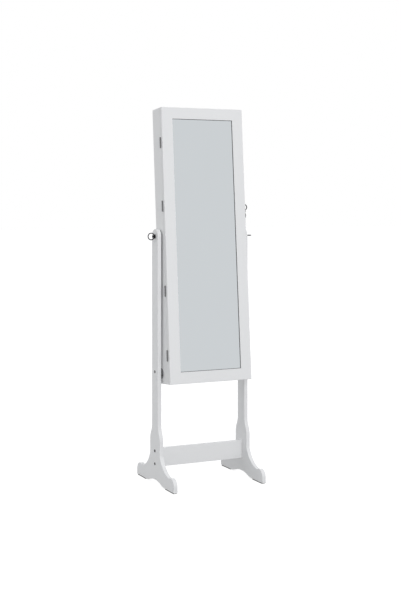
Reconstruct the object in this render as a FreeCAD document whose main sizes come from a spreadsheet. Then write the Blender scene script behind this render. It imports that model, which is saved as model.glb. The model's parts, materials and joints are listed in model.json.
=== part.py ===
import FreeCAD, Part
import Sketcher
import os
import re

# Free-standing jewelry cabinet with a mirror door on a two-legged stand, in millimetres.
# +Z is up and the front faces -Y. The origin is on the floor, midway between the side frames,
# straight below the tilt axis. The cabinet's pieces are drawn in a leaning frame of their own:
# its origin is on the tilt axis at mid width, and it leans back about X by lean_angle.

SIZES = {
    # cabinet box
    "case_width": 350,
    "case_height": 1070,
    "case_depth": 72,
    "case_board": 12,
    "back_panel": 3,
    "back_inset": 1,
    "back_rebate": 6,
    "back_lining_thickness": 2.5,
    "side_lining_thickness": 1,
    "fit_gap": 0.3,
    "edge_break": 1,
    # door
    "door_thickness": 16,
    "seam_gap": 2,
    "door_edge_round": 2,
    "frame_width": 45,
    "lip_thickness": 4,
    "rebate_width": 8,
    "glass_thickness": 3,
    "glass_play": 1,
    "backing_thickness": 6,
    # tilt axis and lean
    "pivot_above_base": 570,
    "pivot_behind_case_front": 39,
    "pivot_height": 961,
    "lean_angle": 4.63,
    "tilt_travel": 5.5,
    # side frames
    "side_gap": 5.5,
    "post_thickness": 15,
    "post_width": 58,
    "shoulder_top": 232,
    "shoulder_bottom": 168,
    "plinth_width": 95,
    "plinth_bottom": 118,
    "flare_radius": 105,
    "foot_reach": 180.7,
    "toe_radius": 28.7,
    "toe_height": 24.5,
    "toe_notch": 15,
    "arch_half_span": 92,
    "arch_rise": 14.5,
    "arch_blend": 0.6,
    "pad_thickness": 3,
    "pad_start": 97,
    "pad_length": 78,
    "pad_margin": 1,
    # cross rail and its bolts
    "rail_height": 72,
    "rail_thickness": 15,
    "rail_underside": 68,
    "rail_bolt_spacing": 50,
    "rail_bolt_radius": 4,
    "rail_bolt_reach": 42,
    "bolt_recess": 1.2,
    "bolt_socket_radius": 2.4,
    "bolt_socket_depth": 2.5,
    "bolt_clearance": 0.2,
    # tilt pivots
    "pivot_screw_radius": 4,
    "running_clearance": 0.05,
    "hub_radius": 4.6,
    "hub_length": 11,
    "pull_ring_radius": 13.2,
    "pull_ring_wire": 1.75,
    "pull_ring_start": 0.6,
    "ring_hole_start": 0.5,
    "ring_hole_radius": 2.35,
    "screw_past_board": 3,
    "spacer_radius": 11,
    "bush_radius": 7,
    # tilt stay
    "stay_radius": 525,
    "stay_bolt_radius": 3,
    "stay_plate_thickness": 2,
    "stay_arm_width": 18,
    "stay_arm_root": 1.4,
    "stay_pad_radius": 21,
    "stay_pad_inset": 7.2,
    "stay_pad_drop": 5,
    "stay_slot_clearance": 0.1,
    "stay_shoulder_radius": 7,
    "stay_nut_radius": 5.8,
    "stay_nut_thickness": 5,
    "stay_thread_end": 1.5,
    # hinges
    "hinge_height": 42,
    "hinge_inner": 164,
    "hinge_outer": 411,
    "hinge_drop": 14,
    "leaf_thickness": 0.9,
    "leaf_width": 11,
    "knuckle_radius": 2.4,
    "knuckle_offset": 2.7,
    "knuckle_play": 0.2,
    "pin_radius": 1.2,
    # magnetic catches and bumpers
    "catch_width": 14,
    "catch_depth": 18,
    "catch_height": 32,
    "catch_from_end": 70,
    "strike_thickness": 1,
    "bumper_radius": 4,
    "bumper_thickness": 1.9,
    "bumper_from_end": 22,
    # cam lock
    "lock_above_base": 682,
    "lock_behind_case_front": 24,
    "lock_flange_radius": 10,
    "lock_flange": 2,
    "lock_barrel_radius": 8,
    "lock_barrel_length": 20,
    "lock_nut_radius": 11,
    "lock_nut_thickness": 3,
    "plug_radius": 5.5,
    "keyway_width": 2.5,
    "keyway_height": 6.6,
    "keyway_depth": 17,
    "stub_side": 5,
    "stub_length": 2.4,
    "cam_length": 22,
    "cam_width": 10,
    "cam_thickness": 2,
    "keeper_thickness": 1.5,
    "keeper_play": 0.7,
    "keeper_low": 12.5,
    "keeper_height": 9,
    "keeper_arm_gap": 4.5,
    "keeper_foot": 6,
    "keeper_foot_width": 15,
    "keeper_overhang": 0.5,
    # keys
    "bow_radius": 12.5,
    "bow_hole_radius": 9.3,
    "key_thickness": 2.2,
    "key_neck": 3,
    "key_neck_height": 8,
    "blade_height": 6,
    "blade_length": 16,
    "key_notch": 1.6,
    "link_radius": 8,
    "link_wall": 1.2,
    "link_width": 1.8,
    "hang_gap": 0.5,
    "spare_key_turn": 35,
    # inside the cabinet
    "shelf_thickness": 9,
    "shelf_setback": 19,
    "lower_shelf_height": 130,
    "middle_shelf_height": 240,
    "top_compartment": 149,
    "guard_thickness": 3,
    "guard_height": 24,
    "ring_panel_thickness": 3,
    "ring_panel_gap": 9,
    "ring_roll_radius": 6.2,
    "ring_roll_pitch": 12.8,
    "ring_roll_count": 8,
    "necklace_bar_height": 16,
    "necklace_bar_depth": 12,
    "necklace_bar_drop": 26,
    "hook_count": 12,
    "hook_pitch": 25,
    "hook_width": 3,
    "hook_reach": 20,
    "hook_rise": 9,
    "hook_wire": 2.4,
    "hook_bend": 3,
    "rod_radius": 4.5,
    "rod_above_shelf": 82,
    "rod_behind_shelf_front": 18,
    "rod_button_radius": 9,
    "rod_button_depth": 4,
    # earring strips on the back of the door
    "strip_count": 4,
    "strip_pitch": 180,
    "strip_length": 220,
    "strip_height": 30,
    "strip_thickness": 3,
    "strip_standoff": 10,
    "strip_block": 12,
    "slit_count": 9,
    "slit_pitch": 21,
    "slit_width": 3,
    "slit_height": 16,
}

# Places shared by several pieces, as formulas of the sizes.
POST_INNER = "(case_width / 2 + side_gap)"
POST_OUTER = "(case_width / 2 + side_gap + post_thickness)"
CASE_FRONT = "(0 - pivot_behind_case_front)"
CASE_BACK = "(case_depth - pivot_behind_case_front)"
CASE_BASE = "(0 - pivot_above_base)"
CASE_TOP = "(case_height - pivot_above_base)"
CASE_MIDDLE = "(case_height / 2 - pivot_above_base)"
DOOR_BACK = "(0 - pivot_behind_case_front - seam_gap)"
DOOR_FRONT = "(0 - pivot_behind_case_front - seam_gap - door_thickness)"
SEAM_MIDDLE = "(0 - pivot_behind_case_front - seam_gap / 2)"
HALF_INSIDE = "(case_width / 2 - case_board)"
HALF_LINED = "(case_width / 2 - case_board - side_lining_thickness)"
BACK_PANEL_FRONT = f"({CASE_BACK} - back_inset - back_panel)"
LINING_FRONT = f"({BACK_PANEL_FRONT} - back_lining_thickness)"
SHELF_FRONT = f"({CASE_FRONT} + shelf_setback)"
RAIL_MIDDLE = "(rail_underside + rail_height / 2)"
LOCK_Y = f"({CASE_FRONT} + lock_behind_case_front)"
LOCK_Z = "(lock_above_base - pivot_above_base)"
PLUG_FACE = "(case_width / 2 + lock_flange)"
BARREL_END = "(case_width / 2 - lock_barrel_length)"
KNUCKLE_X = "(0 - case_width / 2 - knuckle_offset)"
STAY_HEIGHT = "(pivot_height - stay_radius)"
UPPER_SHELF_TOP = f"({CASE_TOP} - case_board - top_compartment)"

SCREW_HOLE = "pivot_screw_radius + running_clearance"
SCREW_END = f"({HALF_INSIDE} - screw_past_board)"
PULL_RING_X = f"({POST_OUTER} + pull_ring_start + pull_ring_wire + pull_ring_radius)"
BOLT_FACE = f"({POST_OUTER} - bolt_recess)"
RAIL_BOLTS = [f"({RAIL_MIDDLE} + {way} * rail_bolt_spacing / 2)" for way in (-1, 1)]
RAIL_BOLT_HOLE = "rail_bolt_radius + bolt_clearance"
STAY_BOLT_HOLE = "stay_bolt_radius + bolt_clearance"
STAY_PAD_Y = f"({CASE_BACK} - stay_pad_inset)"
STAY_PAD_Z = "(0 - stay_radius - stay_pad_drop)"
HINGE_MIDDLES = [f"({CASE_MIDDLE} - hinge_drop + {way} * {reach})"
                 for way in (-1, 1) for reach in ("hinge_inner", "hinge_outer")]
KNUCKLE_HEIGHT = "((hinge_height - 2 * knuckle_play) / 3)"
STUB_END = f"({BARREL_END} - stub_length)"
CAM_BACK = f"({BARREL_END} - fit_gap - cam_thickness)"
KEEPER_X = f"({CAM_BACK} - keeper_arm_gap - keeper_thickness)"
KEY_BOW_X = f"({PLUG_FACE} + key_neck + bow_radius)"
RIM_Z = f"({LOCK_Z} - bow_hole_radius)"
HANG_Y = f"({LOCK_Y} * cos(lean_angle) + {RIM_Z} * sin(lean_angle))"
HANG_Z = f"(pivot_height - {LOCK_Y} * sin(lean_angle) + {RIM_Z} * cos(lean_angle))"
LINK_Z = f"({HANG_Z} + hang_gap - link_radius)"
LINING_BASE = f"{CASE_BASE} + case_board + fit_gap"
LINING_HEIGHT = "case_height - 2 * case_board - 2 * fit_gap"
SHELF_HALF = f"({HALF_LINED} - fit_gap)"
RING_PANEL_HALF = f"({HALF_LINED} - ring_panel_gap)"
DOOR_SIGHT = "(case_width / 2 - frame_width)"
SIDES = {"left": -1, "right": 1}

# How a round piece is drawn: truly round where something turns in it or on it, else with flats.
ROUND = 0
SMOOTH = 24
SMALL = 16
HEXAGON = 6

doc = FreeCAD.newDocument("jewelry_cabinet")
sheet = doc.addObject("Spreadsheet::Sheet", "sizes")
for row, (alias, number) in enumerate(SIZES.items(), 1):
    sheet.set(f"A{row}", alias)
    sheet.set(f"B{row}", str(number))
    sheet.setAlias(f"B{row}", alias)
doc.recompute()

nodes = []


# ---------------------------------------------------------------- drawing helpers

def sized(formula):
    """The formula with each size's name pointing at its cell in the sheet."""
    def cell(match):
        return "sizes." + match.group() if match.group() in SIZES else match.group()
    return re.sub(r"[a-z]\w*", cell, str(formula))


def number_of(formula):
    """The present value of a formula, for a sketch's first position."""
    return float(sheet.evalExpression(sized(formula)))


def whole(name):
    """A count from the sheet."""
    return int(round(number_of(name)))


def bind(thing, **formulas):
    """Binds properties to formulas. x, y and z mean the placement's base."""
    for name, formula in formulas.items():
        path = f"Placement.Base.{name}" if name in ("x", "y", "z") else name
        thing.setExpression(path, sized(formula))


def lean(thing):
    """Puts a piece into the cabinet's leaning frame."""
    thing.Placement = FreeCAD.Placement(FreeCAD.Vector(), FreeCAD.Rotation(FreeCAD.Vector(1, 0, 0), -1))
    thing.setExpression("Placement.Rotation.Angle", sized("0 - lean_angle"))
    bind(thing, z="pivot_height")


def new_body(label, leaning=True):
    """One sub-part as a body. A group of like pieces may be several solids."""
    body = doc.addObject("PartDesign::Body", label)
    body.Label = label
    body.AllowCompound = True
    if leaning:
        lean(body)
    nodes.append(body)
    return body


def feature(body, kind, cut=False):
    """A primitive of the body, added to it or cut from it."""
    role = "Subtractive" if cut else "Additive"
    return body.newObject(f"PartDesign::{role}{kind}", f"{body.Name}_{kind.lower()}")


TURNS = {
    "x": FreeCAD.Rotation(FreeCAD.Vector(0, 1, 0), 90),
    "y": FreeCAD.Rotation(FreeCAD.Vector(1, 0, 0), -90),
    "z": FreeCAD.Rotation(),
}


def block(body, x, y, z, length, width, height, cut=False):
    """A box from its lowest corner, with its sizes along X, Y and Z."""
    box = feature(body, "Box", cut)
    bind(box, x=x, y=y, z=z, Length=length, Width=width, Height=height)
    return box


def rod(body, along, x, y, z, radius, length, cut=False):
    """A cylinder that starts at a point and runs along one axis."""
    cylinder = feature(body, "Cylinder", cut)
    cylinder.Placement = FreeCAD.Placement(FreeCAD.Vector(), TURNS[along])
    bind(cylinder, x=x, y=y, z=z, Radius=radius, Height=length)
    return cylinder


def prism(body, along, x, y, z, radius, length, sides, cut=False):
    """A prism with flat sides, given by the radius over its corners."""
    solid = feature(body, "Prism", cut)
    solid.Polygon = sides
    solid.Placement = FreeCAD.Placement(FreeCAD.Vector(), TURNS[along])
    bind(solid, x=x, y=y, z=z, Circumradius=radius, Height=length)
    return solid


def origin_item(body, role):
    """A plane or axis of the body's own origin."""
    return [item for item in body.Origin.OriginFeatures if item.Role == role][0]


def sketch_on(body, plane, offset="0"):
    """An empty sketch on one of the body's origin planes, moved along its normal."""
    sketch = body.newObject("Sketcher::SketchObject", f"{body.Name}_outline")
    sketch.AttachmentSupport = [(origin_item(body, plane), "")]
    sketch.MapMode = "FlatFace"
    sketch.setExpression("AttachmentOffset.Base.z", sized(offset))
    return sketch


def arc_between(start, end, radius, turn):
    """The arc shorter than a half circle. turn is 1 for anticlockwise and -1 for clockwise."""
    middle = (start + end) * 0.5
    chord = end - start
    across_chord = FreeCAD.Vector(chord.y, -chord.x, 0).normalize() * turn
    sagitta = radius - max(radius * radius - chord.Length ** 2 / 4, 0) ** 0.5
    return Part.Arc(start, middle + across_chord * sagitta, end)


def outline(sketch, corners, arcs=None):
    """Draws a closed outline through corners, each bound to its formulas.

    arcs gives, by the number of the corner it starts from, an edge's radius and its turn.
    """
    arcs = arcs or {}
    points = [FreeCAD.Vector(number_of(x), number_of(y), 0) for x, y in corners]
    ends = []
    for index, start in enumerate(points):
        end = points[(index + 1) % len(points)]
        if index not in arcs:
            geometry = sketch.addGeometry(Part.LineSegment(start, end), False)
            ends.append((geometry, 1, 2))
            continue
        radius, turn = arcs[index]
        edge = arc_between(start, end, number_of(radius), turn)
        geometry = sketch.addGeometry(edge, False)
        ends.append((geometry, 1, 2) if turn > 0 else (geometry, 2, 1))
        hold(sketch, ("Radius", geometry), radius)
    for index, (x, y) in enumerate(corners):
        geometry, first, _ = ends[index]
        before, _, last = ends[index - 1]
        sketch.addConstraint(Sketcher.Constraint("Coincident", before, last, geometry, first))
        hold(sketch, ("DistanceX", geometry, first), x)
        hold(sketch, ("DistanceY", geometry, first), y)


def circle(sketch, x, y, radius):
    """Draws a circle with its centre and radius bound to their formulas."""
    centre = FreeCAD.Vector(number_of(x), number_of(y), 0)
    shape = Part.Circle(centre, FreeCAD.Vector(0, 0, 1), number_of(radius))
    geometry = sketch.addGeometry(shape, False)
    hold(sketch, ("Radius", geometry), radius)
    hold(sketch, ("DistanceX", geometry, 3), x)
    hold(sketch, ("DistanceY", geometry, 3), y)


def hold(sketch, what, formula):
    """Adds one dimension to a sketch and binds it."""
    index = sketch.addConstraint(Sketcher.Constraint(*what, number_of(formula)))
    sketch.setExpression(f"Constraints[{index}]", sized(formula))


def pad(body, sketch, length):
    """Raises a sketch along its plane's normal."""
    solid = body.newObject("PartDesign::Pad", f"{body.Name}_pad")
    solid.Profile = sketch
    bind(solid, Length=length)
    return solid


def pocket(body, sketch, length):
    """Cuts a sketch into the solid along its plane's normal."""
    cut = body.newObject("PartDesign::Pocket", f"{body.Name}_pocket")
    cut.Profile = sketch
    cut.Reversed = True
    bind(cut, Length=length)
    return cut


def mirror(body, original, plane):
    """Repeats a feature on the other side of one of the body's origin planes."""
    mirrored = body.newObject("PartDesign::Mirrored", f"{body.Name}_mirrored")
    mirrored.Originals = [original]
    mirrored.MirrorPlane = (origin_item(body, plane), [""])
    body.Tip = mirrored
    return mirrored


def repeat(body, original, axis, length, count):
    """Repeats a feature along one of the body's origin axes."""
    pattern = body.newObject("PartDesign::LinearPattern", f"{body.Name}_pattern")
    pattern.Originals = [original]
    pattern.Direction = (origin_item(body, axis), [""])
    bind(pattern, Length=length, Occurrences=count)
    body.Tip = pattern
    return pattern


def place(body, spot, leaning=False, turn="0", hanging=False):
    """Places a body by its own origin, turned about Z and with its -X end hung down if asked."""
    x, y, z = (sized(part) for part in spot)
    down = "rotation(vector(0; 1; 0); -90)" if hanging else "rotation(vector(0; 1; 0); 0)"
    own = f"placement(vector({x}; {y}; {z}); rotation(vector(0; 0; 1); {sized(turn)}) * {down})"
    turn = f"rotation(vector(1; 0; 0); {sized('0 - lean_angle')})"
    frame = f"placement(vector(0; 0; sizes.pivot_height); {turn})"
    for path in ("Placement.Rotation.Angle", "Placement.Base.z"):
        body.setExpression(path, None)
    body.setExpression("Placement", f"{frame} * {own}" if leaning else own)


def across(sign, inner, outer):
    """The lower end and the length of a stretch between two distances from mid width."""
    low = inner if sign > 0 else f"0 - ({outer})"
    return low, f"({outer}) - ({inner})"


def crossways(body, sign, inner, outer, y, z, radius, sides=SMOOTH, cut=False):
    """A round or many-sided piece across the width, between two distances from mid width."""
    low, length = across(sign, inner, outer)
    if sides == ROUND:
        return rod(body, "x", low, y, z, radius, length, cut)
    return prism(body, "x", low, y, z, radius, length, sides, cut)


def soften(body, kind, size, chosen):
    """Rounds (Fillet) or bevels (Chamfer) the edges of the body so far that chosen() picks."""
    doc.recompute()
    base = body.Tip
    edges = [f"Edge{n}" for n, edge in enumerate(base.Shape.Edges, 1) if chosen(edge)]
    dressed = body.newObject(f"PartDesign::{kind}", f"{body.Name}_{kind.lower()}")
    dressed.Base = (base, edges)
    bind(dressed, **{"Radius" if kind == "Fillet" else "Size": size})
    return dressed


def near(value, formula):
    """Whether a coordinate is at a place."""
    return abs(value - number_of(formula)) < 0.01


def spans(edge, axis):
    """Whether an edge is a straight line along an axis, x, y or z."""
    box = edge.BoundBox
    lengths = {"x": box.XLength, "y": box.YLength, "z": box.ZLength}
    return all(size < 0.01 for name, size in lengths.items() if name != axis)


def middle_of(edge):
    """The middle of an edge's bounding box."""
    return edge.BoundBox.Center


# ---------------------------------------------------------------- stand

def side_frame(side, sign):
    """One board with its post, shoulders, toes and arch, drilled for its screws."""
    body = new_body(f"side_frame_{side}", leaning=False)
    post = "post_width / 2"
    plinth = "plinth_width / 2"
    step = "((plinth_width - post_width) / 4)"
    drop = "((shoulder_top - shoulder_bottom) / 2)"
    bend = f"({step}^2 + {drop}^2) / (2 * {step})"
    outer_run, outer_rise = "(arch_half_span * (1 - arch_blend))", "(arch_rise * (1 - arch_blend))"
    inner_run, inner_rise = "(arch_half_span * arch_blend)", "(arch_rise * arch_blend)"
    corners = [
        ("0", "pivot_height + post_width / 2"),
        (post, "pivot_height"),
        (post, "shoulder_top"),
        (f"{post} + {step}", f"shoulder_top - {drop}"),
        (plinth, "shoulder_bottom"),
        (plinth, "plinth_bottom"),
        ("foot_reach - toe_radius - toe_notch", "toe_height + sqrt(toe_radius^2 - toe_notch^2)"),
        ("foot_reach", "toe_height"),
        ("foot_reach", "pad_thickness"),
        ("arch_half_span", "pad_thickness"),
        (inner_run, f"pad_thickness + {outer_rise}"),
        ("0", "pad_thickness + arch_rise"),
    ]
    arcs = {
        0: (post, -1),
        2: (bend, 1),
        3: (bend, -1),
        5: ("flare_radius", 1),
        6: ("toe_radius", -1),
        9: (f"({outer_run}^2 + {outer_rise}^2) / (2 * {outer_rise})", -1),
        10: (f"({inner_run}^2 + {inner_rise}^2) / (2 * {inner_rise})", 1),
    }
    low, thickness = across(sign, POST_INNER, POST_OUTER)
    half = sketch_on(body, "YZ_Plane", low)
    outline(half, corners, arcs)
    front_half = pad(body, half, thickness)
    mirror(body, front_half, "XZ_Plane")
    toe_start = number_of("foot_reach - toe_radius")
    soften(body, "Chamfer", "edge_break",
           lambda edge: edge.BoundBox.XLength < 0.01 and abs(middle_of(edge).y) < toe_start)
    crossways(body, sign, POST_INNER, POST_OUTER, "0", "pivot_height", SCREW_HOLE, ROUND, cut=True)
    crossways(body, sign, POST_INNER, POST_OUTER, "0", STAY_HEIGHT, STAY_BOLT_HOLE, cut=True)
    for height in RAIL_BOLTS:
        crossways(body, sign, POST_INNER, POST_OUTER, "0", height, RAIL_BOLT_HOLE, cut=True)


def cross_rail():
    """The board between the side frames, bored at its ends for the rail bolts."""
    body = new_body("cross_rail", leaning=False)
    block(body, f"0 - {POST_INNER}", "0 - rail_thickness / 2", "rail_underside",
          f"2 * {POST_INNER}", "rail_thickness", "rail_height")
    soften(body, "Chamfer", "edge_break", lambda edge: spans(edge, "x"))
    for sign in SIDES.values():
        for height in RAIL_BOLTS:
            bolt_end = f"{POST_INNER} - rail_bolt_reach - bolt_clearance"
            crossways(body, sign, bolt_end, POST_INNER, "0", height, RAIL_BOLT_HOLE, cut=True)


def headless_bolt(body, sign, height, inner_end, radius):
    """A bolt from the outer face of a side frame, with a hexagon socket in its sunk end."""
    crossways(body, sign, inner_end, BOLT_FACE, "0", height, radius)
    socket_floor = f"{BOLT_FACE} - bolt_socket_depth"
    crossways(body, sign, socket_floor, BOLT_FACE, "0", height, "bolt_socket_radius", HEXAGON, cut=True)


def rail_bolts():
    """Four bolts through the side frames into the ends of the cross rail."""
    bolts = new_body("rail_bolts", leaning=False)
    for sign in SIDES.values():
        for height in RAIL_BOLTS:
            headless_bolt(bolts, sign, height, f"{POST_INNER} - rail_bolt_reach", "rail_bolt_radius")


def foot_pads():
    """Four thin pads under the toes."""
    body = new_body("foot_pads", leaning=False)
    for sign in SIDES.values():
        low, width = across(sign, f"{POST_INNER} + pad_margin", f"{POST_OUTER} - pad_margin")
        for end in SIDES.values():
            start, length = across(end, "pad_start", "pad_start + pad_length")
            block(body, low, start, "0", width, length, "pad_thickness")


def stay_fasteners():
    """The shouldered bolt that each stay plate slides on, and its nut."""
    bolts = new_body("stay_bolts", leaning=False)
    nuts = new_body("stay_nuts", leaning=False)
    nut_outer = "case_width / 2 - running_clearance"
    nut_inner = f"{nut_outer} - stay_nut_thickness"
    shoulder = "case_width / 2 + stay_plate_thickness + running_clearance"
    for sign in SIDES.values():
        headless_bolt(bolts, sign, STAY_HEIGHT, f"{nut_inner} - stay_thread_end", "stay_bolt_radius")
        crossways(bolts, sign, shoulder, POST_INNER, "0", STAY_HEIGHT, "stay_shoulder_radius")
        crossways(nuts, sign, nut_inner, nut_outer, "0", STAY_HEIGHT, "stay_nut_radius", HEXAGON)
        crossways(nuts, sign, nut_inner, nut_outer, "0", STAY_HEIGHT, STAY_BOLT_HOLE, cut=True)


def pivot_spacers():
    """Two washers that keep the cabinet clear of the posts."""
    body = new_body("pivot_spacers", leaning=False)
    inner = "case_width / 2 + running_clearance"
    for sign in SIDES.values():
        crossways(body, sign, inner, POST_INNER, "0", "pivot_height", "spacer_radius")
        crossways(body, sign, inner, POST_INNER, "0", "pivot_height", SCREW_HOLE, ROUND, cut=True)


# ---------------------------------------------------------------- tilt pivots

def pivot_screw(side, sign, along):
    """A thumb screw through the post into the cabinet. Its pull ring passes the hub along an axis."""
    body = new_body(f"pivot_screw_{side}", leaning=False)
    bind(body, z="pivot_height")
    crossways(body, sign, SCREW_END, POST_OUTER, "0", "0", "pivot_screw_radius", ROUND)
    crossways(body, sign, POST_OUTER, f"{POST_OUTER} + hub_length", "0", "0", "hub_radius")
    across_hub = {along: "0 - hub_radius"}
    prism(body, along, f"{sign} * ({POST_OUTER} + ring_hole_start + ring_hole_radius)",
          across_hub.get("y", "0"), across_hub.get("z", "0"), "ring_hole_radius", "2 * hub_radius", SMALL,
          cut=True)


def pull_ring(side, sign, axis):
    """A ring of round wire, drawn as a hoop with all its edges bevelled, about an axis."""
    body = new_body(f"pull_ring_{side}", leaning=False)
    bind(body, z="pivot_height")
    edge = {axis: "0 - pull_ring_wire"}
    for radius, cut in (("pull_ring_radius + pull_ring_wire", False),
                        ("pull_ring_radius - pull_ring_wire", True)):
        prism(body, axis, f"{sign} * {PULL_RING_X}", edge.get("y", "0"), edge.get("z", "0"), radius,
              "2 * pull_ring_wire", SMOOTH, cut)
    soften(body, "Chamfer", "pull_ring_wire * (2 - sqrt(2))", lambda edge: not spans(edge, axis))


def pivot_bushes():
    """Steel bushes in the cabinet's sides, which the pivot screws turn in."""
    body = new_body("pivot_bushes")
    for sign in SIDES.values():
        crossways(body, sign, HALF_INSIDE, "case_width / 2", "0", "0", "bush_radius")
        crossways(body, sign, HALF_INSIDE, "case_width / 2", "0", "0", SCREW_HOLE, ROUND, cut=True)


# ---------------------------------------------------------------- cabinet box

def case_side(side, sign):
    """A side board, rebated for the back panel and bored for the bush and the lock."""
    body = new_body(f"case_side_{side}")
    low, thickness = across(sign, HALF_INSIDE, "case_width / 2")
    block(body, low, CASE_FRONT, CASE_BASE, thickness, "case_depth", "case_height")
    soften(body, "Chamfer", "edge_break", lambda edge: not near(abs(middle_of(edge).x), HALF_INSIDE))
    low, width = across(sign, HALF_INSIDE, f"{HALF_INSIDE} + back_rebate")
    block(body, low, BACK_PANEL_FRONT, f"{CASE_BASE} + case_board - back_rebate",
          width, "back_panel + back_inset", "case_height - 2 * case_board + 2 * back_rebate", cut=True)
    crossways(body, sign, HALF_INSIDE, "case_width / 2", "0", "0", "bush_radius + running_clearance",
              cut=True)
    if sign > 0:
        crossways(body, sign, HALF_INSIDE, "case_width / 2", LOCK_Y, LOCK_Z,
                  "lock_barrel_radius + running_clearance", cut=True)


def case_end(label, base, outer, rebate_base):
    """The top or bottom board, between the sides, rebated for the back panel."""
    body = new_body(label)
    block(body, f"0 - {HALF_INSIDE}", CASE_FRONT, base, f"2 * {HALF_INSIDE}", "case_depth", "case_board")
    soften(body, "Chamfer", "edge_break", lambda edge: spans(edge, "x") and near(middle_of(edge).z, outer))
    block(body, f"0 - {HALF_INSIDE}", BACK_PANEL_FRONT, rebate_base,
          f"2 * {HALF_INSIDE}", "back_panel + back_inset", "back_rebate", cut=True)


def back_and_linings():
    """The back panel in its rebate, the lined board in front of it and the side linings."""
    panel = new_body("case_back")
    half = f"({HALF_INSIDE} + back_rebate - fit_gap)"
    block(panel, f"0 - {half}", BACK_PANEL_FRONT, f"{CASE_BASE} + case_board - back_rebate + fit_gap",
          f"2 * {half}", "back_panel", "case_height - 2 * (case_board - back_rebate + fit_gap)")
    lining = new_body("back_lining")
    half = f"({HALF_INSIDE} - fit_gap)"
    block(lining, f"0 - {half}", LINING_FRONT, LINING_BASE, f"2 * {half}", "back_lining_thickness",
          LINING_HEIGHT)
    sides = new_body("side_linings")
    for sign in SIDES.values():
        low, thickness = across(sign, HALF_LINED, HALF_INSIDE)
        block(sides, low, CASE_FRONT, LINING_BASE, thickness, f"{LINING_FRONT} - {CASE_FRONT}", LINING_HEIGHT)
        crossways(sides, sign, HALF_LINED, HALF_INSIDE, "0", "0", "bush_radius", cut=True)
    crossways(sides, 1, HALF_LINED, HALF_INSIDE, LOCK_Y, LOCK_Z, "lock_nut_radius + fit_gap", cut=True)


# ---------------------------------------------------------------- tilt stay

def on_arc(radius, angle):
    """A point of a sketch in the YZ plane, below the tilt axis, at an angle from straight down."""
    return f"({radius}) * sin({angle})", f"0 - ({radius}) * cos({angle})"


def stay_cap(half, angle, way):
    """The tip of a round end of a curved band."""
    y, z = on_arc("stay_radius", angle)
    return f"{y} + {way} * {half} * cos({angle})", f"{z} + {way} * {half} * sin({angle})"


def curved_band(sketch, half, start, end, round_start):
    """An outline about the tilt axis, half wide each way, with one or both ends round."""
    inner, outer = f"stay_radius - {half}", f"stay_radius + {half}"
    corners = [on_arc(inner, start), on_arc(inner, end), stay_cap(half, end, 1), on_arc(outer, end),
               on_arc(outer, start)]
    arcs = {0: (inner, 1), 1: (half, -1), 2: (half, -1), 3: (outer, -1)}
    if round_start:
        corners.append(stay_cap(half, start, -1))
        arcs.update({4: (half, -1), 5: (half, -1)})
    outline(sketch, corners, arcs)


def stay_plates():
    """A plate on each side of the cabinet, with a slot that is an arc about the tilt axis."""
    body = new_body("stay_plates")
    for sign in SIDES.values():
        low, thickness = across(sign, "case_width / 2", "case_width / 2 + stay_plate_thickness")
        disc = sketch_on(body, "YZ_Plane", low)
        circle(disc, STAY_PAD_Y, STAY_PAD_Z, "stay_pad_radius")
        pad(body, disc, thickness)
        arm = sketch_on(body, "YZ_Plane", low)
        curved_band(arm, "(stay_arm_width / 2)", "(lean_angle - stay_arm_root)", "(lean_angle + tilt_travel)",
                    False)
        pad(body, arm, thickness)
        slot = sketch_on(body, "YZ_Plane", low)
        curved_band(slot, "(stay_bolt_radius + stay_slot_clearance)", "lean_angle",
                    "(lean_angle + tilt_travel)", True)
        pocket(body, slot, thickness)


# ---------------------------------------------------------------- hinges, catches and bumpers

def hinge_leaves(label, leaf_start, knuckles):
    """The leaves of one side of the hinges, each rolled into some of three knuckles."""
    body = new_body(label)
    for middle in HINGE_MIDDLES:
        base = f"({middle} - hinge_height / 2)"
        block(body, "0 - case_width / 2", leaf_start, base, "leaf_width", "leaf_thickness", "hinge_height")
        for place in knuckles:
            start = f"{base} + {place} * ({KNUCKLE_HEIGHT} + knuckle_play)"
            block(body, KNUCKLE_X, leaf_start, start, "knuckle_offset", "leaf_thickness", KNUCKLE_HEIGHT)
            prism(body, "z", KNUCKLE_X, SEAM_MIDDLE, start, "knuckle_radius", KNUCKLE_HEIGHT, SMALL)
    return body


def hinges():
    """Butt hinges. The case leaves hold the pins, and the door leaves turn on them."""
    case_leaves = hinge_leaves("hinge_case_leaves", f"{CASE_FRONT} - leaf_thickness", (0, 2))
    door_leaves = hinge_leaves("hinge_door_leaves", DOOR_BACK, (1,))
    for middle in HINGE_MIDDLES:
        base = f"({middle} - hinge_height / 2)"
        rod(case_leaves, "z", KNUCKLE_X, SEAM_MIDDLE, base, "pin_radius", "hinge_height")
        rod(door_leaves, "z", KNUCKLE_X, SEAM_MIDDLE, base, "pin_radius + running_clearance", "hinge_height",
            cut=True)


def catches():
    """Two magnetic catches inside the lock side, and their steel plates on the door."""
    magnets = new_body("magnet_catches")
    plates = new_body("strike_plates")
    start = f"({DOOR_BACK} + strike_thickness + fit_gap)"
    low = f"{HALF_LINED} - catch_width"
    for middle in (f"({CASE_TOP} - catch_from_end)", f"({CASE_BASE} + catch_from_end)"):
        base = f"{middle} - catch_height / 2"
        block(magnets, low, start, base, "catch_width", "catch_depth", "catch_height")
        block(plates, low, DOOR_BACK, base, "catch_width", "strike_thickness", "catch_height")


def door_bumpers():
    """Two soft buttons that the door closes on."""
    body = new_body("door_bumpers")
    for height in (f"{CASE_TOP} - bumper_from_end", f"{CASE_BASE} + bumper_from_end"):
        prism(body, "y", "case_width / 2 - case_board / 2", DOOR_BACK, height, "bumper_radius",
              "bumper_thickness", SMALL)


# ---------------------------------------------------------------- cam lock and keys

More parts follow.
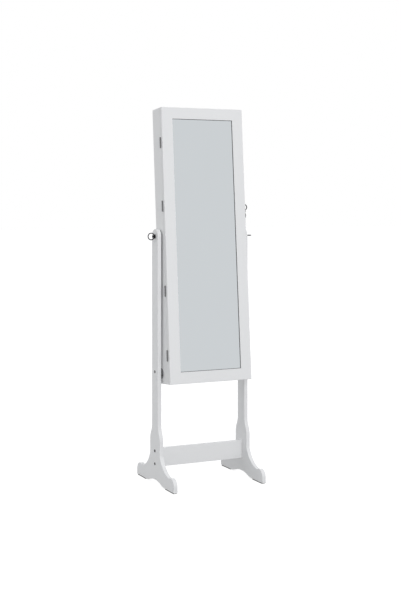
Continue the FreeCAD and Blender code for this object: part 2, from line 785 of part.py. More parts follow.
def lock_fixed():
    """The lock's housing in the right side and the nut that holds it."""
    barrel = new_body("lock_barrel")
    crossways(barrel, 1, BARREL_END, "case_width / 2", LOCK_Y, LOCK_Z, "lock_barrel_radius")
    crossways(barrel, 1, "case_width / 2", PLUG_FACE, LOCK_Y, LOCK_Z, "lock_flange_radius")
    crossways(barrel, 1, BARREL_END, PLUG_FACE, LOCK_Y, LOCK_Z, "plug_radius + running_clearance", ROUND,
              cut=True)
    nut = new_body("lock_nut")
    nut_end = f"{HALF_INSIDE} - lock_nut_thickness"
    crossways(nut, 1, nut_end, HALF_INSIDE, LOCK_Y, LOCK_Z, "lock_nut_radius", HEXAGON)
    crossways(nut, 1, nut_end, HALF_INSIDE, LOCK_Y, LOCK_Z, "lock_barrel_radius + running_clearance",
              cut=True)


def lock_turning():
    """The plug with its keyway and square stub, and the cam on the stub."""
    plug = new_body("lock_plug")
    crossways(plug, 1, BARREL_END, PLUG_FACE, LOCK_Y, LOCK_Z, "plug_radius", ROUND)
    block(plug, STUB_END, f"{LOCK_Y} - stub_side / 2", f"{LOCK_Z} - stub_side / 2",
          "stub_length", "stub_side", "stub_side")
    block(plug, f"{PLUG_FACE} - keyway_depth", f"{LOCK_Y} - keyway_width / 2",
          f"{LOCK_Z} - keyway_height / 2", "keyway_depth", "keyway_width", "keyway_height", cut=True)
    cam = new_body("lock_cam")
    half = "cam_width / 2"
    tip = f"({LOCK_Y} - cam_length + {half})"
    for end in (LOCK_Y, tip):
        prism(cam, "x", CAM_BACK, end, LOCK_Z, half, "cam_thickness", SMOOTH)
    block(cam, CAM_BACK, tip, f"{LOCK_Z} - {half}", "cam_thickness", f"{LOCK_Y} - {tip}", "cam_width")
    hole = "(stub_side / 2 + running_clearance)"
    block(cam, CAM_BACK, f"{LOCK_Y} - {hole}", f"{LOCK_Z} - {hole}", "cam_thickness", f"2 * {hole}",
          f"2 * {hole}", cut=True)


def lock_keeper():
    """A folded bracket on the door whose tongue stands behind the raised cam."""
    body = new_body("lock_keeper")
    base = f"{LOCK_Z} + keeper_low"
    tongue = f"({LOCK_Y} + cam_width / 2 + keeper_play)"
    block(body, KEEPER_X, DOOR_BACK, f"{base} - keeper_foot", "keeper_foot_width", "keeper_thickness",
          "keeper_height + 2 * keeper_foot")
    block(body, KEEPER_X, DOOR_BACK, base, "keeper_thickness", f"{tongue} + keeper_thickness - {DOOR_BACK}",
          "keeper_height")
    block(body, KEEPER_X, tongue, base, f"{CAM_BACK} + cam_thickness + keeper_overhang - {KEEPER_X}",
          "keeper_thickness", "keeper_height")


def draw_key(body):
    """A flat key in the XZ plane with its bow on the origin and its blade towards -X."""
    neck_end = "0 - (bow_radius + bow_hole_radius) / 2"
    shoulder = "0 - bow_radius - key_neck"
    tip = f"({shoulder} - blade_length)"
    corners = [(neck_end, "0 - key_neck_height / 2"), (neck_end, "key_neck_height / 2"),
               (shoulder, "key_neck_height / 2"), (shoulder, "blade_height / 2"),
               (f"{tip} + blade_height / 3", "blade_height / 2"), (tip, "0"),
               (f"{tip} + blade_height / 3", "0 - blade_height / 2")]
    for notch in range(3):
        middle = f"{tip} + blade_height / 3 + {notch + 1} * key_notch * 2"
        corners += [(f"{middle} - key_notch / 2", "0 - blade_height / 2"),
                    (middle, "key_notch - blade_height / 2"),
                    (f"{middle} + key_notch / 2", "0 - blade_height / 2")]
    corners += [(shoulder, "0 - blade_height / 2"), (shoulder, "0 - key_neck_height / 2")]
    blade = sketch_on(body, "XZ_Plane", "0 - key_thickness / 2")
    outline(blade, corners)
    pad(body, blade, "key_thickness")
    for radius, cut in (("bow_radius", False), ("bow_hole_radius", True)):
        prism(body, "y", "0", "0 - key_thickness / 2", "0", radius, "key_thickness", SMOOTH, cut)


def keys():
    """The key in the lock, the link through its bow and the spare key that hangs on the link."""
    key = new_body("key")
    draw_key(key)
    place(key, (KEY_BOW_X, LOCK_Y, LOCK_Z), leaning=True)
    link = new_body("key_ring", leaning=False)
    for radius, cut in (("link_radius + link_wall", False), ("link_radius", True)):
        prism(link, "x", "0 - link_width / 2", "0", "0", radius, "link_width", SMOOTH, cut)
    place(link, (KEY_BOW_X, HANG_Y, LINK_Z))
    spare = new_body("spare_key", leaning=False)
    draw_key(spare)
    spare_z = f"({LINK_Z} - link_radius + hang_gap - bow_hole_radius)"
    place(spare, (KEY_BOW_X, HANG_Y, spare_z), turn="spare_key_turn", hanging=True)


# ---------------------------------------------------------------- inside the cabinet

def shelves():
    """Three fixed shelves and the low boards along the front of the lower compartments."""
    for label, base in (("shelf_lower", f"{CASE_BASE} + lower_shelf_height"),
                        ("shelf_middle", f"{CASE_BASE} + middle_shelf_height"),
                        ("shelf_upper", f"{UPPER_SHELF_TOP} - shelf_thickness")):
        body = new_body(label)
        block(body, f"0 - {SHELF_HALF}", SHELF_FRONT, base, f"2 * {SHELF_HALF}",
              f"{LINING_FRONT} - fit_gap - {SHELF_FRONT}", "shelf_thickness")
    guards = new_body("shelf_guards")
    for base in ("case_board", "lower_shelf_height", "middle_shelf_height"):
        block(guards, f"0 - {SHELF_HALF}", f"{SHELF_FRONT} - guard_thickness", f"{CASE_BASE} + {base}",
              f"2 * {SHELF_HALF}", "guard_thickness", "guard_height")


def ring_holder():
    """A board on the back lining with a stack of soft rolls that grip rings."""
    board = new_body("ring_panel")
    block(board, f"0 - {RING_PANEL_HALF}", f"{LINING_FRONT} - ring_panel_thickness", UPPER_SHELF_TOP,
          f"2 * {RING_PANEL_HALF}", "ring_panel_thickness", "ring_roll_pitch * ring_roll_count")
    rolls = new_body("ring_rolls")
    for step in range(whole("ring_roll_count")):
        prism(rolls, "x", f"fit_gap - {RING_PANEL_HALF}",
              f"{LINING_FRONT} - ring_panel_thickness - ring_roll_radius",
              f"{UPPER_SHELF_TOP} + ring_roll_pitch * {step + 0.5}", "ring_roll_radius",
              f"2 * ({RING_PANEL_HALF} - fit_gap)", SMALL)


def necklace_rail():
    """A bar under the upper shelf with a row of upturned hooks."""
    bar = new_body("necklace_bar")
    base = f"({UPPER_SHELF_TOP} - shelf_thickness - necklace_bar_drop - necklace_bar_height)"
    front = f"({LINING_FRONT} - necklace_bar_depth)"
    block(bar, f"0 - {SHELF_HALF}", front, base, f"2 * {SHELF_HALF}", "necklace_bar_depth",
          "necklace_bar_height")
    hooks = new_body("necklace_hooks")
    low = f"({base} + hook_wire)"
    tip = f"({front} - hook_reach)"
    corners = [(front, low), (front, f"{low} + hook_wire"), (f"{tip} + hook_bend", f"{low} + hook_wire"),
               (f"{tip} + hook_wire", f"{low} + hook_bend"), (f"{tip} + hook_wire", f"{low} + hook_rise"),
               (tip, f"{low} + hook_rise"), (tip, f"{low} + hook_bend"), (f"{tip} + hook_bend", low)]
    for step in range(whole("hook_count")):
        start = f"hook_pitch * ({step} - (hook_count - 1) / 2) - hook_width / 2"
        profile = sketch_on(hooks, "YZ_Plane", start)
        outline(profile, corners)
        pad(hooks, profile, "hook_width")


def bracelet_rod():
    """A round rod between two buttons on the side linings."""
    height = f"({CASE_BASE} + middle_shelf_height + shelf_thickness + rod_above_shelf)"
    depth = f"({SHELF_FRONT} + rod_behind_shelf_front)"
    end = f"{HALF_LINED} - rod_button_depth"
    bar = new_body("bracelet_rod")
    buttons = new_body("rod_buttons")
    for sign in SIDES.values():
        crossways(buttons, sign, end, HALF_LINED, depth, height, "rod_button_radius")
    prism(bar, "x", f"0 - ({end})", depth, height, "rod_radius", f"2 * ({end})", SMOOTH)


# ---------------------------------------------------------------- door

def door_stile(side, sign):
    """An upright of the door frame with a stopped rebate for the mirror."""
    body = new_body(f"door_stile_{side}")
    low, width = across(sign, DOOR_SIGHT, "case_width / 2")
    block(body, low, DOOR_FRONT, CASE_BASE, width, "door_thickness", "case_height")
    soften(body, "Fillet", "door_edge_round", lambda edge: near(middle_of(edge).y, DOOR_FRONT)
           and not near(abs(middle_of(edge).x), DOOR_SIGHT))
    low, width = across(sign, DOOR_SIGHT, f"{DOOR_SIGHT} + rebate_width")
    block(body, low, f"{DOOR_FRONT} + lip_thickness", f"{CASE_BASE} + frame_width - rebate_width", width,
          "door_thickness - lip_thickness", "case_height - 2 * frame_width + 2 * rebate_width", cut=True)


def door_rail(label, base, outer, rebate_base):
    """The top or bottom member of the door frame, between the stiles."""
    body = new_body(label)
    block(body, f"0 - {DOOR_SIGHT}", DOOR_FRONT, base, f"2 * {DOOR_SIGHT}", "door_thickness", "frame_width")
    soften(body, "Fillet", "door_edge_round", lambda edge: spans(edge, "x")
           and near(middle_of(edge).y, DOOR_FRONT) and near(middle_of(edge).z, outer))
    block(body, f"0 - {DOOR_SIGHT}", f"{DOOR_FRONT} + lip_thickness", rebate_base, f"2 * {DOOR_SIGHT}",
          "door_thickness - lip_thickness", "rebate_width", cut=True)


def door_filling():
    """The mirror behind the frame's lip, then its backing board and the lined board."""
    half = f"({DOOR_SIGHT} + rebate_width - glass_play)"
    base = f"{CASE_BASE} + frame_width - rebate_width + glass_play"
    height = "case_height - 2 * (frame_width - rebate_width + glass_play)"
    start = f"{DOOR_FRONT} + lip_thickness"
    rest = "(door_thickness - lip_thickness - glass_thickness - backing_thickness)"
    for label, thickness in (("mirror_glass", "glass_thickness"), ("mirror_backing", "backing_thickness"),
                             ("door_lining", rest)):
        block(new_body(label), f"0 - {half}", start, base, f"2 * {half}", thickness, height)
        start = f"{start} + {thickness}"


def earring_holder():
    """Slitted strips across the back of the door, held off it by blocks at their ends."""
    strips = new_body("earring_strips")
    blocks = new_body("strip_blocks")
    for step in range(whole("strip_count")):
        base = f"({CASE_MIDDLE} + strip_pitch * ({step} - (strip_count - 1) / 2) - strip_height / 2)"
        start = f"{DOOR_BACK} + strip_standoff"
        block(strips, "0 - strip_length / 2", start, base, "strip_length", "strip_thickness", "strip_height")
        slit = block(strips, "0 - slit_pitch * (slit_count - 1) / 2 - slit_width / 2", start,
                     f"{base} + (strip_height - slit_height) / 2", "slit_width", "strip_thickness",
                     "slit_height", cut=True)
        repeat(strips, slit, "X_Axis", "slit_pitch * (slit_count - 1)", "slit_count")
        for sign in SIDES.values():
            low, width = across(sign, "strip_length / 2 - strip_block", "strip_length / 2")
            block(blocks, low, DOOR_BACK, base, width, "strip_standoff", "strip_height")


# ---------------------------------------------------------------- assembly

for side, sign in SIDES.items():
    side_frame(side, sign)
cross_rail()
rail_bolts()
foot_pads()
stay_fasteners()
pivot_spacers()
pivot_screw("left", -1, "z")
pull_ring("left", -1, "y")
pivot_screw("right", 1, "y")
pull_ring("right", 1, "z")
pivot_bushes()
for side, sign in SIDES.items():
    case_side(side, sign)
case_end("case_top", f"{CASE_TOP} - case_board", CASE_TOP, f"{CASE_TOP} - case_board")
case_end("case_bottom", CASE_BASE, CASE_BASE, f"{CASE_BASE} + case_board - back_rebate")
back_and_linings()
stay_plates()
hinges()
catches()
door_bumpers()
lock_fixed()
lock_turning()
lock_keeper()
keys()
shelves()
ring_holder()
necklace_rail()
bracelet_rod()
for side, sign in SIDES.items():
    door_stile(side, sign)
door_rail("door_rail_top", f"{CASE_TOP} - frame_width", CASE_TOP, f"{CASE_TOP} - frame_width")
door_rail("door_rail_bottom", CASE_BASE, CASE_BASE, f"{CASE_BASE} + frame_width - rebate_width")
door_filling()
earring_holder()
doc.recompute()

faults = [item.Name for item in doc.Objects if {"Invalid", "Error"} & set(item.State)]
faults += [node.Label for node in nodes if node.Shape.isNull() or not node.Shape.isValid()]
if faults:
    raise RuntimeError("failed: " + ", ".join(faults))

os.makedirs("parts", exist_ok=True)
for node in nodes:
    node.Shape.exportStep(f"parts/{node.Label}.step")
print(len(nodes), "sub-parts,", sum(len(node.Shape.Solids) for node in nodes), "solids")
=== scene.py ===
"""A free-standing jewelry cabinet with a mirror door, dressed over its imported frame.

All lengths are in metres. +Z is up and the mirror faces -Y. The cabinet leans back about the
tilt axis, so its own pieces are worked out in a leaning frame and carried over by LeaningFrame.
"""
import json
import logging
from dataclasses import dataclass, field
from enum import Enum
from math import atan2, radians

import bmesh
import bpy
import numpy as np
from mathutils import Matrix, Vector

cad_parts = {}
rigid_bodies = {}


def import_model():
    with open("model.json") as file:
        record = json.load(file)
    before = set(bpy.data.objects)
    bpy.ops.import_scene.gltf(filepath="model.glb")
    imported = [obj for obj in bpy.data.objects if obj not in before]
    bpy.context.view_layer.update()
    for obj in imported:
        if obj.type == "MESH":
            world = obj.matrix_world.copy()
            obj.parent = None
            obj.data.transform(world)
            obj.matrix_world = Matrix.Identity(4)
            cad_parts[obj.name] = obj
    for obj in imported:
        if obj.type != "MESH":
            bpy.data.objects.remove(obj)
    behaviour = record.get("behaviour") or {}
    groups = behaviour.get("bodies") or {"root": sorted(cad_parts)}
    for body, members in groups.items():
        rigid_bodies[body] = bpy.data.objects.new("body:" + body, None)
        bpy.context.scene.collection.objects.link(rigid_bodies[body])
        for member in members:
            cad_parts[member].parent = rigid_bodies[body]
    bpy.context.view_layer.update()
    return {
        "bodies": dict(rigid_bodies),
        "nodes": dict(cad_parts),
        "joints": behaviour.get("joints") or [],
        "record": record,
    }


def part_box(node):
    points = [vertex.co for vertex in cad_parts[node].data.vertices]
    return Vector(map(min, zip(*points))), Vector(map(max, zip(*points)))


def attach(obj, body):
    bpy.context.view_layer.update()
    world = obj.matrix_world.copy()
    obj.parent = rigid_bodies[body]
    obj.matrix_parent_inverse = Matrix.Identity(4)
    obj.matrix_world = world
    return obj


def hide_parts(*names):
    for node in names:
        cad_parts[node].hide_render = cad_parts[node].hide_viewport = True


LOG = logging.getLogger("mirror_cabinet")
SIDES = {"left": -1.0, "right": 1.0}
TAU = 2 * np.pi
WELD = 1e-6

Colour = tuple[float, float, float]
Place = tuple[float, float, float]


class Slot(Enum):
    """The record's material slots."""

    LACQUER = "white_lacquer"
    VELVET = "velvet"
    MIRROR = "mirror"
    BOARD = "backing_board"
    DARK_STEEL = "dark_steel"
    DARK_CHROME = "dark_chrome"
    NICKEL = "nickel"
    PLASTIC = "white_plastic"
    RUBBER = "dark_rubber"


# ------------------------------------------------------------------ finishes

class NodeBoard:
    """A node tree with short ways to add and join nodes."""

    def __init__(self, tree: bpy.types.NodeTree) -> None:
        """Takes a tree over."""
        self.tree = tree

    def add(self, kind: str, **inputs: object) -> bpy.types.Node:
        """Adds a node and sets its inputs by name.

        Args:
            kind: the node's type name.
            inputs: values, with underscores for spaces in the input's name.

        Returns:
            The new node.
        """
        node = self.tree.nodes.new(kind)
        for key, value in inputs.items():
            node.inputs[key.replace("_", " ")].default_value = value
        return node

    def join(self, source: bpy.types.NodeSocket, target: bpy.types.NodeSocket) -> None:
        """Links an output to an input."""
        self.tree.links.new(source, target)

    def background_rays(self) -> bpy.types.NodeSocket:
        """Tells the rays that see the background: from the camera, and off metal and through glass.

        Returns:
            An output that is 1 for those rays and 0 for others.
        """
        path = self.add("ShaderNodeLightPath")
        seen = path.outputs["Is Camera Ray"]
        for kind in ("Is Glossy Ray", "Is Transmission Ray"):
            either = self.add("ShaderNodeMath")
            either.operation = "MAXIMUM"
            self.join(seen, either.inputs[0])
            self.join(path.outputs[kind], either.inputs[1])
            seen = either.outputs[0]
        return seen


class Surface(NodeBoard):
    """A material's node tree, which starts with one Principled shader.

    Most of a noise lies between its values low and high, so colours and roughness are spread
    over that stretch.
    """

    low: float = 0.3
    high: float = 0.7

    def __init__(self, name: str) -> None:
        """Starts a material.

        Args:
            name: the material's name.
        """
        self.material = bpy.data.materials.new(name)
        self.material.use_nodes = True
        super().__init__(self.material.node_tree)
        self.shader = self.tree.nodes["Principled BSDF"]

    def set(self, **inputs: object) -> None:
        """Sets the shader's own inputs by name.

        Args:
            inputs: values, with underscores for spaces in the input's name.
        """
        for key, value in inputs.items():
            self.shader.inputs[key.replace("_", " ")].default_value = value

    def noise(self, scale: float, detail: float = 3.0, stretch: Place = (1, 1, 1)) -> bpy.types.NodeSocket:
        """A noise on Object coordinates.

        Args:
            scale: how many features there are to a metre, roughly.
            detail: how many finer layers the noise has.
            stretch: factors along X, Y and Z.

        Returns:
            The noise's value output.
        """
        place = self.add("ShaderNodeTexCoord")
        mapping = self.add("ShaderNodeMapping", Scale=stretch)
        texture = self.add("ShaderNodeTexNoise", Scale=scale, Detail=detail)
        self.join(place.outputs["Object"], mapping.inputs["Vector"])
        self.join(mapping.outputs["Vector"], texture.inputs["Vector"])
        return texture.outputs["Fac"]

    def roughen(self, value: bpy.types.NodeSocket, smooth: float, rough: float) -> None:
        """Lets the roughness drift between two values by a noise.

        Args:
            value: a noise between 0 and 1.
            smooth: the roughness where the noise is low.
            rough: the roughness where the noise is high.
        """
        ranged = self.add("ShaderNodeMapRange", From_Min=self.low, From_Max=self.high,
                          To_Min=smooth, To_Max=rough)
        self.join(value, ranged.inputs["Value"])
        self.join(ranged.outputs["Result"], self.shader.inputs["Roughness"])

    def tint(self, value: bpy.types.NodeSocket, dark: Colour, light: Colour) -> None:
        """Colours the surface between two colours by a noise.

        Args:
            value: a noise between 0 and 1.
            dark: the colour where the noise is low.
            light: the colour where the noise is high.
        """
        ramp = self.add("ShaderNodeValToRGB")
        for element, position, colour in zip(ramp.color_ramp.elements, (self.low, self.high), (dark, light)):
            element.position = position
            element.color = (*colour, 1)
        self.join(value, ramp.inputs["Fac"])
        self.join(ramp.outputs["Color"], self.shader.inputs["Base Color"])

    def bump(self, value: bpy.types.NodeSocket, strength: float, distance: float) -> None:
        """Gives the surface a relief by a noise.

        Args:
            value: a noise between 0 and 1.
            strength: how strongly the relief shows.
            distance: its depth in metres.
        """
        node = self.add("ShaderNodeBump", Strength=strength, Distance=distance)
        self.join(value, node.inputs["Height"])
        self.join(node.outputs["Normal"], self.shader.inputs["Normal"])


def shade(colour: Colour, factor: float) -> Colour:
    """A colour made darker or lighter."""
    return tuple(min(part * factor, 1.0) for part in colour)


@dataclass(frozen=True)
class Finish:
    """A surface: colour, gloss, grain and unevenness.

    The colour drifts by mottle about base over patches of 1/patch metres, the roughness by
    wear over patches wear_scale times smaller, and grain is a fine relief of grain_depth metres.
    """

    slot: Slot
    base: Colour
    roughness: float
    metallic: float = 0.0
    mottle: float = 0.03
    patch: float = 6.0
    wear: float = 0.04
    wear_scale: float = 5.0
    grain: float = 900.0
    grain_depth: float = 0.00003
    grain_strength: float = 0.2
    stretch: Place = (1, 1, 1)
    coat: float = 0.0
    coat_roughness: float = 0.12
    specular: float = 0.5
    label: str = ""

    def build(self) -> bpy.types.Material:
        """Makes the material.

        Returns:
            The material, named after its label or its slot.
        """
        board = Surface(self.label or self.slot.value)
        board.set(Metallic=self.metallic, Coat_Weight=self.coat, Coat_Roughness=self.coat_roughness,
                  Specular_IOR_Level=self.specular)
        drift = board.noise(self.patch, 2.0)
        board.tint(drift, shade(self.base, 1 - self.mottle), shade(self.base, 1 + self.mottle))
        worn = board.noise(self.patch * self.wear_scale)
        board.roughen(worn, self.roughness - self.wear, self.roughness + self.wear)
        board.bump(board.noise(self.grain, 2.0, self.stretch), self.grain_strength, self.grain_depth)
        return board.material


@dataclass(frozen=True)
class Pile:
    """Velvet: a short pile that catches the light at grazing angles and lies in soft patches. The patches'
    lighter and darker colour is painted sheen and painted shade of the pile lying different ways.
    """

    slot: Slot
    base: Colour
    nap: float = 26.0
    nap_stretch: Place = (1, 1, 0.35)
    # shadow and glow scale the colour of the darker and lighter patches: painted shade and painted sheen.
    shadow: float = 0.65
    glow: float = 1.45
    roughness: float = 0.95
    specular: float = 0.15
    sheen: float = 0.9
    sheen_roughness: float = 0.35
    sheen_tint: Colour = (0.75, 0.76, 0.8)
    fibre: float = 1600.0
    fibre_strength: float = 0.6
    fibre_depth: float = 0.0003

    def build(self) -> bpy.types.Material:
        """Makes the material.

        Returns:
            The material, named after its slot.
        """
        board = Surface(self.slot.value)
        board.set(Roughness=self.roughness, Specular_IOR_Level=self.specular, Sheen_Weight=self.sheen,
                  Sheen_Roughness=self.sheen_roughness, Sheen_Tint=(*self.sheen_tint, 1))
        patches = board.noise(self.nap, 4.0, self.nap_stretch)
        # Painted sheen and painted shade: the colour swings between darker and lighter patches of pile.
        board.tint(patches, shade(self.base, self.shadow), shade(self.base, self.glow))
        board.bump(board.noise(self.fibre, 2.0), self.fibre_strength, self.fibre_depth)
        return board.material


FINISHES = (
    Finish(Slot.LACQUER, (0.80, 0.803, 0.81), 0.34, mottle=0.008, patch=3.0, grain=700.0,
           grain_depth=0.00002, grain_strength=0.12, coat=0.25, specular=0.4),
    Pile(Slot.VELVET, (0.03, 0.03, 0.034)),
    # The mirror's silver is darker than real silvering: a painted reflection, which stands in for the dimmer
    # surroundings that the glass would show.
    Finish(Slot.MIRROR, (0.60, 0.63, 0.65), 0.012, metallic=1.0, mottle=0.002, wear=0.004,
           grain=8.0, grain_depth=0.00001, grain_strength=0.01),
    Finish(Slot.BOARD, (0.33, 0.22, 0.13), 0.7, mottle=0.2, patch=300.0, grain=1200.0, grain_depth=0.0002),
    Finish(Slot.DARK_STEEL, (0.035, 0.035, 0.038), 0.5, metallic=0.6, mottle=0.15, patch=40.0),
    Finish(Slot.DARK_CHROME, (0.03, 0.03, 0.033), 0.18, metallic=1.0, mottle=0.06, patch=60.0,
           grain=2500.0, stretch=(1, 0.15, 1), grain_depth=0.00001),
    Finish(Slot.NICKEL, (0.60, 0.59, 0.57), 0.24, metallic=1.0, mottle=0.05, patch=50.0,
           grain=2500.0, stretch=(0.15, 1, 1), grain_depth=0.00001),
    Finish(Slot.PLASTIC, (0.74, 0.74, 0.73), 0.45, mottle=0.01, grain=1500.0, grain_depth=0.00005),
    Finish(Slot.RUBBER, (0.05, 0.05, 0.05), 0.85, mottle=0.2, patch=80.0, grain=1800.0, grain_depth=0.0001),
)

HINGE_STEEL = Finish(Slot.NICKEL, (0.24, 0.24, 0.245), 0.38, metallic=1.0, mottle=0.1, patch=70.0,
                     grain=2500.0, stretch=(1, 1, 0.15), grain_depth=0.00001, label="hinge_steel")
STAY_STEEL = Finish(Slot.DARK_STEEL, (0.27, 0.27, 0.28), 0.5, metallic=0.5, mottle=0.1, patch=50.0,
                    label="stay_steel")
OWN_FINISHES = {"hinge_case_leaves": HINGE_STEEL, "hinge_door_leaves": HINGE_STEEL, "stay_plates": STAY_STEEL}


class Palette:
    """All finishes, made once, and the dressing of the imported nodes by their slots."""

    def __init__(self) -> None:
        """Builds every finish."""
        self.materials = {finish.slot: finish.build() for finish in FINISHES}
        built = {finish: finish.build() for finish in OWN_FINISHES.values()}
        self.own = {node: built[finish] for node, finish in OWN_FINISHES.items()}

    def dress(self, piece: bpy.types.Object, slot: Slot, like: str = "") -> None:
        """Gives a piece the material of a slot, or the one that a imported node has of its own.

        Args:
            piece: the piece.
            slot: its slot.
            like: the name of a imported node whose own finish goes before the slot's.
        """
        piece.data.materials.clear()
        piece.data.materials.append(self.own.get(like, self.materials[slot]))

    def dress_frame(self, frame: dict) -> None:
        """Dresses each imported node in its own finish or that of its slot.
        """
        slots = {part["node"]: part["material_slot"] for part in frame["record"]["subparts"]}
        for name, node in frame["nodes"].items():
            self.dress(node, Slot(slots[name]), name)


# ------------------------------------------------------------------ surfaces

@dataclass
class Shell:
    """A mesh in the making: quads over one or more grids of points."""

    points: list[np.ndarray] = field(default_factory=list)
    quads: list[np.ndarray] = field(default_factory=list)
    count: int = 0

    def add(self, grid: np.ndarray, closed_rows: bool = False, closed_columns: bool = False) -> None:
        """Adds a grid of points as a surface.

        Args:
            grid: points, shaped (rows, columns, 3).
            closed_rows: whether the last row meets the first.
            closed_columns: whether the last column meets the first.
        """
        rows, columns = grid.shape[:2]
        index = np.arange(rows * columns).reshape(rows, columns)
        if closed_rows:
            index = np.vstack([index, index[:1]])
        if closed_columns:
            index = np.hstack([index, index[:, :1]])
        quads = np.stack([index[:-1, :-1], index[:-1, 1:], index[1:, 1:], index[1:, :-1]], axis=-1)
        self.points.append(grid.reshape(-1, 3))
        self.quads.append(quads.reshape(-1, 4) + self.count)
        self.count += rows * columns

    def build(self, name: str, smooth_below: float = 40.0) -> bpy.types.Object:
        """Welds the grids into one mesh with its faces outwards.

        Args:
            name: the object's name.
            smooth_below: the angle in degrees up to which edges are shaded smooth.

        Returns:
            The object, at the origin.
        """
        mesh = bpy.data.meshes.new(name)
        mesh.from_pydata(np.vstack(self.points).tolist(), [], np.vstack(self.quads).tolist())
        shape = bmesh.new()
        shape.from_mesh(mesh)
        bmesh.ops.remove_doubles(shape, verts=shape.verts, dist=WELD)
        bmesh.ops.recalc_face_normals(shape, faces=shape.faces)
        shape.to_mesh(mesh)
        shape.free()
        mesh.shade_smooth()
        mesh.set_sharp_from_angle(angle=radians(smooth_below))
        piece = bpy.data.objects.new(name, mesh)
        bpy.context.scene.collection.objects.link(piece)
        return piece


def unit(vector: np.ndarray) -> np.ndarray:
    """A vector, or each of an array of vectors, at length one."""
    return vector / np.linalg.norm(vector, axis=-1, keepdims=True)


def beside(axis: np.ndarray) -> tuple[np.ndarray, np.ndarray]:
    """Two directions square to an axis and to each other.

    Args:
        axis: a unit direction.

    Returns:
        The two directions, a quarter turn apart about the axis.
    """
    upright = abs(axis[2]) >= 0.9
    helper = np.array([0.0, 1.0, 0.0]) if upright else np.array([0.0, 0.0, 1.0])
    first = unit(np.cross(helper, axis))
    return first, np.cross(axis, first)


def spokes(axis: np.ndarray, sides: int) -> np.ndarray:
    """Unit directions spread evenly about an axis and square to it.

    Args:
        axis: a unit direction.
        sides: how many directions there are.

    Returns:
        The directions, shaped (sides, 3).
    """
    first, second = beside(axis)
    angle = np.arange(sides) / sides * TAU
    return np.cos(angle)[:, None] * first + np.sin(angle)[:, None] * second


def turned(origin: np.ndarray, axis: np.ndarray, profile: np.ndarray, sides: int = 40) -> np.ndarray:
    """A turned shape: a point is the origin, plus its distance along the axis, plus its radius
    along the spoke of its angle.

    Args:
        origin: where the axis starts.
        axis: the unit direction of the axis.
        profile: rows of (distance along the axis, radius).
        sides: how many points go round.

    Returns:
        A grid of points, closed in its columns.
    """
    return origin + profile[:, None, :1] * axis + profile[:, None, 1:] * spokes(axis, sides)[None]


def bent_wire(path: np.ndarray, square_to: np.ndarray, radius: np.ndarray, sides: int = 12,
              closed: bool = False) -> np.ndarray:
    """A wire along a flat path: the point at (place, angle) is the path plus the radius, turned from the
    direction square to the path within its plane towards the plane's normal.

    Args:
        path: points, shaped (n, 3), in one plane.
        square_to: the unit normal of that plane.
        radius: the wire's radius at each point.
        sides: how many points go round the wire.
        closed: whether the path is a loop.

    Returns:
        A grid of points, closed in its columns.
    """
    if closed:
        tangent = unit(np.roll(path, -1, axis=0) - np.roll(path, 1, axis=0))
    else:
        tangent = unit(np.gradient(path, axis=0))
    outward = np.cross(square_to, tangent)
    angle = np.arange(sides) / sides * TAU
    spoke = np.cos(angle)[None, :, None] * outward[:, None] + np.sin(angle)[None, :, None] * square_to
    return path[:, None] + radius[:, None, None] * spoke


def rounded_run(corners: np.ndarray, bend: float, steps: int = 8) -> np.ndarray:
    """A polyline with its corners turned into quadratic curves.

    Args:
        corners: the polyline's points, shaped (n, 3).
        bend: how far from a corner its curve starts and ends.
        steps: points in each curve.

    Returns:
        The points of the rounded path.
    """
    before = corners[1:-1] + unit(corners[:-2] - corners[1:-1]) * bend
    after = corners[1:-1] + unit(corners[2:] - corners[1:-1]) * bend
    t = np.linspace(0, 1, steps)[None, :, None]
    middle = corners[1:-1][:, None]
    curve = (1 - t) ** 2 * before[:, None] + 2 * t * (1 - t) * middle + t ** 2 * after[:, None]
    return np.vstack([corners[:1], curve.reshape(-1, 3), corners[-1:]])


def screw_head(centre: np.ndarray, axis: np.ndarray, radius: float, height: float) -> np.ndarray:
    """A domed head with a cross recess: the height at (radius, angle) is a dome less a pit along two bars.

    The bars, the pit and the dome are shares of the head's own radius and height.

    Args:
        centre: the middle of the head's seat.
        axis: the unit direction that the head faces.
        radius: the head's radius.
        height: the head's height.

    Returns:
        A grid of points, closed in its columns.
    """
    sides = 32
    bar_half, pit_reach, pit_depth = 0.13, 0.55, 0.55
    dome_width = 0.8
    first, second = beside(axis)
    angle = np.arange(sides) / sides * TAU
    reach = np.array([0.0, 0.12, 0.25, 0.4, 0.5, 0.6, 0.75, 0.9, 1.0, 1.0])[:, None]
    across = reach * np.cos(angle)
    along = reach * np.sin(angle)
    bars = np.minimum(np.abs(across), np.abs(along)) < bar_half
    pit = pit_depth * bars * (reach < pit_reach)
    dome = np.sqrt(np.maximum(1 - (reach * dome_width) ** 2, 0)) - pit
    dome[-1] = 0.0
    flat = across[..., None] * first + along[..., None] * second
    return centre + (height * dome)[..., None] * axis + radius * flat


def torus(centre: np.ndarray, axis: np.ndarray, radius: float, wire: float, steps: int = 72,
          sides: int = 16) -> np.ndarray:
    """A round ring of wire: the path is a circle about the axis.

    Args:
        centre: the ring's middle.
        axis: the unit direction that the ring turns about.
        radius: the radius of the wire's centre line.
        wire: the wire's radius.
        steps: how many points go round the circle.
        sides: how many points go round the wire.

    Returns:
        A grid of points, closed in rows and columns.
    """
    path = centre + radius * spokes(axis, steps)
    return bent_wire(path, axis, np.full(steps, wire), sides, closed=True)


